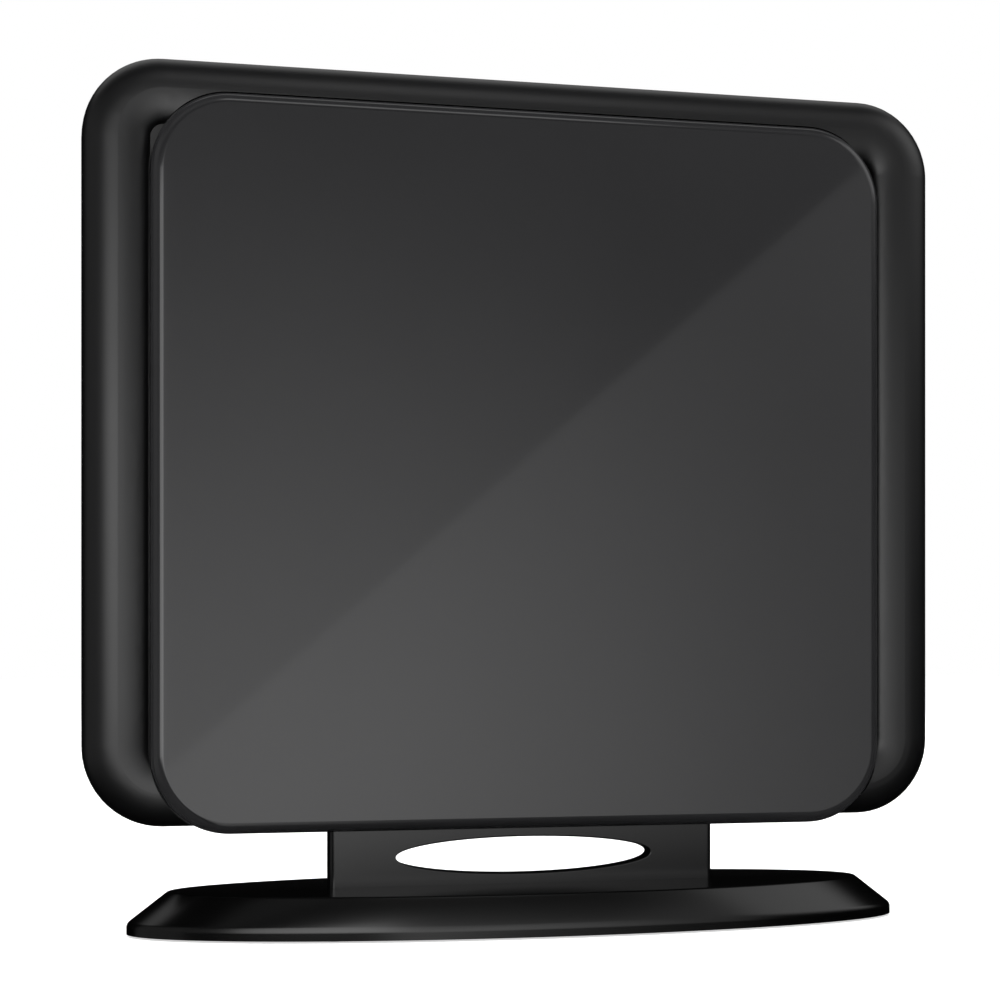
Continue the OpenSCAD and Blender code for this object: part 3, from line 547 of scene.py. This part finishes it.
bpy.ops.mesh.primitive_circle_add(vertices=BASE_SIDES, radius=1, fill_type="NGON", location=(0, 0, BASE_FOOT))
base = bpy.context.object
base.name = "base"
base.scale = (*BASE_HALF, 1)
bpy.ops.object.transform_apply(location=True, rotation=True, scale=True)
begin_edit(base)
choose(base, "faces", lambda *corners: True)
for before, after in zip(BASE_STEPS, BASE_STEPS[1:]):
    bpy.ops.mesh.extrude_region_move(TRANSFORM_OT_translate={"value": (0, 0, after[2] - before[2])})
    bpy.ops.transform.resize(value=(after[0] / before[0], after[1] / before[1], 1),
                             center_override=(0, 0, after[2]))
round_off(base, "edges", lambda a, b: near(a.z, BASE_TOP) and near(b.z, BASE_TOP), BASE_TOP_EDGE,
          BASE_TOP_SEGMENTS)
round_off(base, "edges", lambda a, b: near(a.z, BASE_SIDE_TOP) and near(b.z, BASE_SIDE_TOP), BASE_SIDE_EDGE,
          BASE_SIDE_SEGMENTS)
choose(base, "faces", lambda *corners: all(near(v.z, BASE_FOOT) for v in corners))
bpy.ops.mesh.delete(type="FACE")
end_edit()
apply_modifier(base, "SOLIDIFY", thickness=BASE_WALL, offset=-1)
slot = add_block("slot", (-NECK_X - SLOT_GAP, NECK_Y[0] - SLOT_GAP, SLOT_FOOT),
                 (NECK_X + SLOT_GAP, NECK_Y[1] + SLOT_GAP, SLOT_HEAD))
begin_edit(slot)
round_off(slot, "edges", lambda a, b: near(a.x, b.x) and near(a.y, b.y), NECK_EDGE, NECK_EDGE_SEGMENTS)
end_edit()
join_solid(base, slot, "DIFFERENCE")
dress(base, "base_cover", gloss_abs, angle=60)


# Element board and its sheet metal
# The board of glass fibre that carries the elements, which are cut from aluminium sheet and riveted on, and
# the slotted reflector behind it. They sit inside the closed head and are the CAD nodes themselves.
def metal(name, colour, roughness, grain, stretch=(1, 1, 1), depth=0.002):
    """Metal with a grain in its tone, gloss and skin, in millimetres, finer along an axis by its stretch."""
    material, tree = new_material(name)
    where = add_node(tree, "ShaderNodeTexCoord")
    drawn = add_node(tree, "ShaderNodeMapping", {"Scale": stretch}, {"Vector": where.outputs["Object"]})
    lines = add_node(tree, "ShaderNodeTexNoise", {"Scale": METRE_MM / grain, "Detail": 4.0},
                     {"Vector": drawn.outputs[0]})
    dark, pale = shades(colour, GRAIN_TONE)
    tone = add_node(tree, "ShaderNodeMix", {"data_type": "RGBA", 6: dark, 7: pale}, {0: lines.outputs["Fac"]})
    gloss = add_node(tree, "ShaderNodeMapRange",
                     {"To Min": roughness * (1 - GRAIN_GLOSS), "To Max": roughness * (1 + GRAIN_GLOSS)},
                     {"Value": lines.outputs["Fac"]})
    bump = add_node(tree, "ShaderNodeBump", {"Strength": 0.5, "Distance": depth / METRE_MM},
                    {"Height": lines.outputs["Fac"]})
    body = add_node(tree, "ShaderNodeBsdfPrincipled", {"Metallic": 1.0},
                    {"Base Color": tone.outputs[2], "Roughness": gloss.outputs[0], "Normal": bump.outputs[0]})
    add_node(tree, "ShaderNodeOutputMaterial", {}, {"Surface": body.outputs[0]})
    return material


# The shares by which a metal's grain changes its tone and its gloss
GRAIN_TONE = 0.12
GRAIN_GLOSS = 0.2
ROLLING_STRETCH = (1, 1, 12)
ALUMINIUM_PARTS = ("uhf_wing_left", "uhf_wing_right", "vhf_loop", "element_rivets", "reflector_plate")

# Green solder resist: an even lacquer whose skin shows a little of the glass weave as faint ripples
solder_resist = moulded_plastic("green solder resist", "#1b4a2a", 0.35, grain=1.2, depth=0.01)
# Mill-finish aluminium: a dull silver with the fine lines of its rolling
rolled_aluminium = metal("mill-finish aluminium", "#c8c9cb", 0.32, grain=2.0, stretch=ROLLING_STRETCH)
paint_node("element_board", solder_resist)
for name in ALUMINIUM_PARTS:
    paint_node(name, rolled_aluminium)

# Balun and feed
# A folded steel can over a ferrite core, the pins that join the elements to it, and the lead that runs down
# from it to the socket. They are the CAD nodes themselves.

# Zinc plate: a cool grey shine with faint spangles
zinc_plate = metal("zinc-plated steel", "#a9adb4", 0.34, grain=3.0)
# Sintered ferrite: a dull charcoal ceramic with fine pores
ferrite = moulded_plastic("sintered ferrite", "#2b2b2d", 0.62, grain=0.8, depth=0.02)
# Gold plate over turned brass: a warm even shine
gold_plate = metal("gold-plated brass", "#d8b25a", 0.22, grain=1.5)
# Extruded PVC: smooth black with a soft sheen
pvc = moulded_plastic("black PVC sheath", "#141415", 0.38, grain=1.0, depth=0.01)
paint_node("balun_can", zinc_plate)
paint_node("board_screws", zinc_plate)
paint_node("balun_core", ferrite)
paint_node("feed_pins", gold_plate)
paint_node("feed_lead", pvc)

# Aerial socket
# A nickel-plated brass body turned from bar. Its collar sits inside the back wall, and its 3/8-32 thread
# sticks out of the back, with a groove where the nut ends.
SOCKET_Z = 0.0789
SOCKET_SIDES = 64
TURN_MERGE = 0.000002
TAIL_BORE = 0.00290
TAIL_RADIUS = 0.00360
TAIL_END = 0.0225
COLLAR_RADIUS = 0.0070
COLLAR_BACK = 0.0285
COLLAR_FRONT = 0.0305
COLLAR_CHAMFER = 0.0002
THREAD_FIRST = 0.0370
THREAD_PITCH = 0.000794
THREAD_RIDGES = 9
THREAD_ROOT = 0.00441
THREAD_CREST = 0.00476
# Shares of the pitch at which a ridge's crest ends, its root starts and its root ends
CREST_END = 0.1
ROOT_START = 0.5
ROOT_END = 0.6
GROOVE_START = 0.0362
GROOVE_FLOOR = (0.0363, 0.0366)
MOUTH_SHOULDER = 0.0446
MOUTH_FRONT = 0.0450
MOUTH_RIM = 0.00292
MOUTH_BORE = 0.00272
MOUTH_THROAT = 0.0448
BORE_FLOOR = 0.0320
# Radius and place of each step of the turned profile, from the tail inside to the thread
SOCKET_STEPS = (
    (TAIL_BORE, TAIL_END),
    (TAIL_RADIUS, TAIL_END),
    (TAIL_RADIUS, COLLAR_BACK),
    (COLLAR_RADIUS - COLLAR_CHAMFER, COLLAR_BACK),
    (COLLAR_RADIUS, COLLAR_BACK + COLLAR_CHAMFER),
    (COLLAR_RADIUS, COLLAR_FRONT - COLLAR_CHAMFER),
    (COLLAR_RADIUS - COLLAR_CHAMFER, COLLAR_FRONT),
    (THREAD_CREST, COLLAR_FRONT),
    (THREAD_CREST, GROOVE_START),
    (THREAD_ROOT, GROOVE_FLOOR[0]),
    (THREAD_ROOT, GROOVE_FLOOR[1]),
    (THREAD_CREST, THREAD_FIRST),
)
# The same for the mouth: its outer chamfer, its face, its countersink and its bore
SOCKET_MOUTH = (
    (THREAD_CREST, MOUTH_SHOULDER),
    (THREAD_ROOT, MOUTH_FRONT),
    (MOUTH_RIM, MOUTH_FRONT),
    (MOUTH_BORE, MOUTH_THROAT),
    (MOUTH_BORE, BORE_FLOOR),
)


def turn_profile(name, steps, sides, centre):
    """Spins a bent edge of (radius, y) steps round an axis along y through a centre (x, z)."""
    bpy.ops.mesh.primitive_plane_add(size=1, location=(0, 0, 0))
    piece = bpy.context.object
    piece.name = name
    begin_edit(piece)
    bpy.ops.mesh.select_all(action="SELECT")
    bpy.ops.mesh.merge(type="CENTER")
    bpy.ops.transform.translate(value=(steps[0][0], steps[0][1], 0))
    for before, after in zip(steps, steps[1:]):
        bpy.ops.mesh.extrude_vertices_move(
            TRANSFORM_OT_translate={"value": (after[0] - before[0], after[1] - before[1], 0)})
    bpy.ops.mesh.select_all(action="SELECT")
    bpy.ops.mesh.spin(steps=sides, angle=2 * math.pi, center=(0, 0, 0), axis=(0, 1, 0))
    bpy.ops.mesh.select_all(action="SELECT")
    bpy.ops.mesh.remove_doubles(threshold=TURN_MERGE)
    bpy.ops.transform.translate(value=(centre[0], 0, centre[1]))
    bpy.ops.mesh.normals_make_consistent(inside=False)
    end_edit()
    return piece


# Nickel plate over turned brass: a warm silver shine
nickel_plate = metal("nickel-plated brass", "#b9b6ae", 0.20, grain=2.5)
ridges = []
for ridge in range(THREAD_RIDGES):
    start = THREAD_FIRST + ridge * THREAD_PITCH
    ridges.append((THREAD_CREST, start + THREAD_PITCH * CREST_END))
    ridges.append((THREAD_ROOT, start + THREAD_PITCH * ROOT_START))
    ridges.append((THREAD_ROOT, start + THREAD_PITCH * ROOT_END))
socket_profile = (*SOCKET_STEPS, *ridges, *SOCKET_MOUTH, SOCKET_STEPS[0])
socket = turn_profile("socket", socket_profile, SOCKET_SIDES, (0, SOCKET_Z))
dress(socket, "socket_body", nickel_plate, angle=30)

# Socket insulator
# A white polyethylene plug pressed into the socket's bore. It keeps the contact in the middle, and a small
# countersink round the contact guides the plug's pin.
INSULATOR_BORE = 0.00096
INSULATOR_RADIUS = 0.00265
INSULATOR_BACK = 0.0316
INSULATOR_FRONT = 0.0444
INSULATOR_EDGE = 0.0001
# The countersink: its radius at the front and at its floor, and where its floor and its lower edge lie
GUIDE_RADII = (0.00160, 0.00100)
GUIDE_FLOOR = 0.0438
GUIDE_END = 0.0436
# Radius and place of each step, with the chamfer outside and the countersink inside
INSULATOR_STEPS = (
    (INSULATOR_BORE, INSULATOR_BACK),
    (INSULATOR_RADIUS, INSULATOR_BACK),
    (INSULATOR_RADIUS, INSULATOR_FRONT - INSULATOR_EDGE),
    (INSULATOR_RADIUS - INSULATOR_EDGE, INSULATOR_FRONT),
    (GUIDE_RADII[0], INSULATOR_FRONT),
    (GUIDE_RADII[1], GUIDE_FLOOR),
    (INSULATOR_BORE, GUIDE_END),
    (INSULATOR_BORE, INSULATOR_BACK),
)

# Moulded polyethylene: a milky white with a waxy sheen
polyethylene = moulded_plastic("white polyethylene", "#e9e6dc", 0.42, grain=1.0, depth=0.01)
insulator = turn_profile("insulator", INSULATOR_STEPS, SOCKET_SIDES, (0, SOCKET_Z))
dress(insulator, "socket_insulator", polyethylene, angle=30)

# Socket contact
# The gold-plated spring tube in the middle, which takes the pin of the aerial lead. Its lip is chamfered
# inside and out.
CONTACT_BORE = 0.00050
CONTACT_RADIUS = 0.00094
CONTACT_BACK = 0.0325
CONTACT_FRONT = 0.0439
CONTACT_SIDES = 32
# The lip's chamfers: their width, and how far they run down outside and inside
LIP_WIDTH = 0.00006
LIP_OUTSIDE = 0.0002
LIP_INSIDE = 0.0003
# Radius and place of each step, with the two chamfers of the lip
CONTACT_STEPS = (
    (CONTACT_BORE, CONTACT_BACK),
    (CONTACT_RADIUS, CONTACT_BACK),
    (CONTACT_RADIUS, CONTACT_FRONT - LIP_OUTSIDE),
    (CONTACT_RADIUS - LIP_WIDTH, CONTACT_FRONT),
    (CONTACT_BORE + LIP_WIDTH, CONTACT_FRONT),
    (CONTACT_BORE, CONTACT_FRONT - LIP_INSIDE),
    (CONTACT_BORE, CONTACT_BACK),
)

contact = turn_profile("contact", CONTACT_STEPS, CONTACT_SIDES, (0, SOCKET_Z))
dress(contact, "socket_contact", gold_plate, angle=30)

# Socket washer
# A zinc-plated steel washer between the back wall and the nut. It is punched from sheet, and tumbling breaks
# its edges.
WASHER_BORE = 0.00486
WASHER_RADIUS = 0.00750
WASHER_BACK = 0.0330
WASHER_FRONT = 0.0336
WASHER_EDGE = 0.0001
WASHER_STEPS = (
    (WASHER_BORE, WASHER_BACK),
    (WASHER_RADIUS - WASHER_EDGE, WASHER_BACK),
    (WASHER_RADIUS, WASHER_BACK + WASHER_EDGE),
    (WASHER_RADIUS, WASHER_FRONT - WASHER_EDGE),
    (WASHER_RADIUS - WASHER_EDGE, WASHER_FRONT),
    (WASHER_BORE + WASHER_EDGE, WASHER_FRONT),
    (WASHER_BORE, WASHER_FRONT - WASHER_EDGE),
    (WASHER_BORE, WASHER_BACK),
)

washer = turn_profile("washer", WASHER_STEPS, SOCKET_SIDES, (0, SOCKET_Z))
dress(washer, "socket_washer", zinc_plate, angle=30)

# Socket nut
# A hexagon nut of nickel-plated brass, 11 mm across its flats, that clamps the socket to the back wall. A
# cone takes its outer corners off, and its bore has a countersink.
NUT_FLATS = 0.011
NUT_TURN = math.radians(30)
NUT_CORNERS = NUT_FLATS / 2 / math.cos(NUT_TURN)
NUT_BACK = 0.0336
NUT_FRONT = 0.0362
NUT_BORE = 0.00480
# The cutters start this far off the axis and reach this far past the nut
CUTTER_AXIS = 0.0001
CUTTER_OVER = 0.001
# The crown's cone: its radius at the nut's front, and its slope down to the corners and up to the axis
CROWN_RADIUS = 0.00545
CROWN_OUTSIDE = 0.0080
CROWN_DROP = 0.0014
CROWN_RUN = 0.002
CROWN_RISE = 0.0011
CROWN_SIDES = 96
COUNTERSINK_DEPTH = 0.0003
COUNTERSINK_RUN = 0.0013
CROWN_STEPS = (
    (CUTTER_AXIS, NUT_BACK - CUTTER_OVER),
    (CROWN_OUTSIDE, NUT_BACK - CUTTER_OVER),
    (CROWN_OUTSIDE, NUT_FRONT - CROWN_DROP),
    (CROWN_RADIUS, NUT_FRONT),
    (CROWN_RADIUS - CROWN_RUN, NUT_FRONT + CROWN_RISE),
    (CUTTER_AXIS, NUT_FRONT + CROWN_RISE),
    (CUTTER_AXIS, NUT_BACK - CUTTER_OVER),
)
BORE_STEPS = (
    (CUTTER_AXIS, NUT_BACK - CUTTER_OVER),
    (NUT_BORE, NUT_BACK - CUTTER_OVER),
    (NUT_BORE, NUT_FRONT - COUNTERSINK_DEPTH),
    (NUT_BORE + COUNTERSINK_RUN, NUT_FRONT + CUTTER_OVER),
    (CUTTER_AXIS, NUT_FRONT + CUTTER_OVER),
    (CUTTER_AXIS, NUT_BACK - CUTTER_OVER),
)

bpy.ops.mesh.primitive_cylinder_add(vertices=6, radius=NUT_CORNERS, depth=NUT_FRONT - NUT_BACK,
                                    location=(0, (NUT_BACK + NUT_FRONT) / 2, SOCKET_Z),
                                    rotation=(math.radians(90), NUT_TURN, 0))
nut = bpy.context.object
nut.name = "nut"
bpy.ops.object.transform_apply(location=True, rotation=True, scale=True)
join_solid(nut, turn_profile("crown", CROWN_STEPS, CROWN_SIDES, (0, SOCKET_Z)), "INTERSECT")
join_solid(nut, turn_profile("bore", BORE_STEPS, SOCKET_SIDES, (0, SOCKET_Z)), "DIFFERENCE")
dress(nut, "socket_nut", nickel_plate, angle=25)

# Base plate and ballast
# A steel plate closes the base from below, and a cast weight lies on it under the neck. They are the CAD
# nodes themselves.

# Powder coat: a dull black with a fine orange-peel skin
powder_coat = moulded_plastic("black powder coat", "#1a1a1b", 0.48, grain=0.7, depth=0.03)
# Raw cast iron: a dark grey with the rough skin of the sand mould
cast_iron = metal("raw cast iron", "#5b5b5d", 0.6, grain=1.2, depth=0.05)
paint_node("base_plate", powder_coat)
paint_node("ballast_plate", cast_iron)


# Screws
# Black-oxide steel screws with a domed head and a cross recess: six that close the housing, two that hold
# the neck's tongue and eight under the base. Each is a turned shank and head with the cross cut into it.
def add_screw(name, seat, heads_down, shank_r, shank_l, head_r, head_t):
    """One screw with its head to the back, or downwards, on a seat."""
    angles = [math.radians(step * SCREW_DOME_STEP) for step in range(90 // SCREW_DOME_STEP)]
    dome = [(head_r * math.cos(a), head_t * (HEAD_SIDE + (1 - HEAD_SIDE) * math.sin(a))) for a in angles]
    point = [(SCREW_TIP, -shank_l), (shank_r, -shank_l + shank_r / 2)]
    steps = [*point, (shank_r, 0), (head_r * HEAD_UNDERSIDE, 0), *dome, (SCREW_TIP, head_t)]
    piece = turn_profile(name, steps, SCREW_SIDES, (0, 0))
    begin_edit(piece)
    for end in (steps[0], steps[-1]):
        choose(piece, "verts", lambda v, end=end: near(v.y, end[1]) and math.hypot(v.x, v.z) < 2 * SCREW_TIP)
        bpy.ops.mesh.merge(type="CENTER")
    bpy.ops.mesh.select_all(action="SELECT")
    bpy.ops.mesh.normals_make_consistent(inside=False)
    end_edit()
    for wide, high in ((CROSS_LONG, CROSS_WIDE), (CROSS_WIDE, CROSS_LONG)):
        bar = add_block("cross", (-head_r * wide, head_t * (1 - CROSS_DEEP), -head_r * high),
                        (head_r * wide, head_t * 2, head_r * high))
        join_solid(piece, bar, "DIFFERENCE")
    if heads_down:
        piece.rotation_euler = (math.radians(-90), 0, 0)
    piece.location = seat
    select_only(piece)
    bpy.ops.object.transform_apply(location=True, rotation=True, scale=True)
    return piece


def add_screws(name, spots, heads_down, sizes, node):
    """Several equal screws as one piece in black-oxide steel."""
    piece = add_screw(name, spots[0], heads_down, *sizes)
    begin_edit(piece)
    bpy.ops.mesh.select_all(action="SELECT")
    for before, after in zip(spots, spots[1:]):
        bpy.ops.mesh.duplicate_move(TRANSFORM_OT_translate={"value": Vector(after) - Vector(before)})
    end_edit()
    dress(piece, node, black_oxide, angle=30)


SCREW_SIDES = 40
SCREW_DOME_STEP = 15
SCREW_TIP = 0.00005
# Shares of a head: its straight side, its underside's radius, and its cross's length, width and depth
HEAD_SIDE = 0.35
HEAD_UNDERSIDE = 0.97
CROSS_LONG = 0.60
CROSS_WIDE = 0.13
CROSS_DEEP = 0.55
# Radius and length of the shank, radius and height of the head
CASE_SCREW = (0.0015, 0.0098, 0.0029, 0.0022)
BASE_SCREW = (0.0015, 0.0080, 0.0030, 0.0015)
STAND_SCREW = (0.0020, 0.0100, 0.0040, 0.0015)
CASE_X = 0.1360
CASE_Y = 0.0120
CASE_ROWS = (0.0729, 0.1849, 0.2969)
TONGUE_X = 0.050
TONGUE_Y = 0.0089
TONGUE_ROW = 0.0559
BASE_X = 0.116
BASE_Y = 0.014
STAND_X = 0.060
STAND_ROWS = (-0.0097, 0.0113)
PLATE_SEAT = 0.0018
CASE_SEATS = [(x, CASE_Y, z) for x in (-CASE_X, CASE_X) for z in CASE_ROWS]
TONGUE_SEATS = [(x, TONGUE_Y, TONGUE_ROW) for x in (-TONGUE_X, TONGUE_X)]
BASE_SEATS = [(x, y, PLATE_SEAT) for x in (-BASE_X, BASE_X) for y in (-BASE_Y, BASE_Y)]
STAND_SEATS = [(x, y, PLATE_SEAT) for x in (-STAND_X, STAND_X) for y in STAND_ROWS]

# Black oxide on steel: a dark blue-grey with a dull oily shine
black_oxide = metal("black-oxide steel", "#3a3a3d", 0.35, grain=2.0)
add_screws("case-screw-set", CASE_SEATS + TONGUE_SEATS, False, CASE_SCREW, "case_screws")
add_screws("base-screw-set", BASE_SEATS, True, BASE_SCREW, "base_screws")
add_screws("stand-screw-set", STAND_SEATS, True, STAND_SCREW, "stand_screws")

# Feet
# Four soft rubber pads stuck under the base plate. Each has a rounded lower edge and a shallow dish with a
# sloping side.
FOOT_RADIUS = 0.0080
FOOT_HEIGHT = 0.0018
FOOT_SIDES = 72
FOOT_EDGE = 0.0005
FOOT_EDGE_SEGMENTS = 4
FOOT_RING = 0.0022
FOOT_DISH = 0.0004
FOOT_SLOPE = 0.0008
FOOT_X = 0.07973
FOOT_Y = 0.02621
FOOT_SPOTS = {
    "front_left": (-FOOT_X, -FOOT_Y),
    "front_right": (FOOT_X, -FOOT_Y),
    "rear_left": (-FOOT_X, FOOT_Y),
    "rear_right": (FOOT_X, FOOT_Y),
}

# Soft rubber: matt black with a fine tooth. The grain is drawn at 0.5 mm, coarser than the real one
rubber = moulded_plastic("soft black rubber", "#121212", 0.72, grain=0.5, depth=0.03)
for corner, (x, y) in FOOT_SPOTS.items():
    bpy.ops.mesh.primitive_cylinder_add(vertices=FOOT_SIDES, radius=FOOT_RADIUS, depth=FOOT_HEIGHT,
                                        location=(x, y, FOOT_HEIGHT / 2))
    foot = bpy.context.object
    foot.name = "pad_" + corner
    bpy.ops.object.transform_apply(location=True, rotation=True, scale=True)
    begin_edit(foot)
    round_off(foot, "edges", lambda a, b: near(a.z, 0) and near(b.z, 0), FOOT_EDGE, FOOT_EDGE_SEGMENTS)
    choose(foot, "faces", lambda *corners: all(near(v.z, 0) for v in corners))
    bpy.ops.mesh.inset(thickness=FOOT_RING, depth=0)
    bpy.ops.mesh.inset(thickness=FOOT_SLOPE, depth=-FOOT_DISH)
    end_edit()
    dress(foot, "foot_" + corner, rubber)
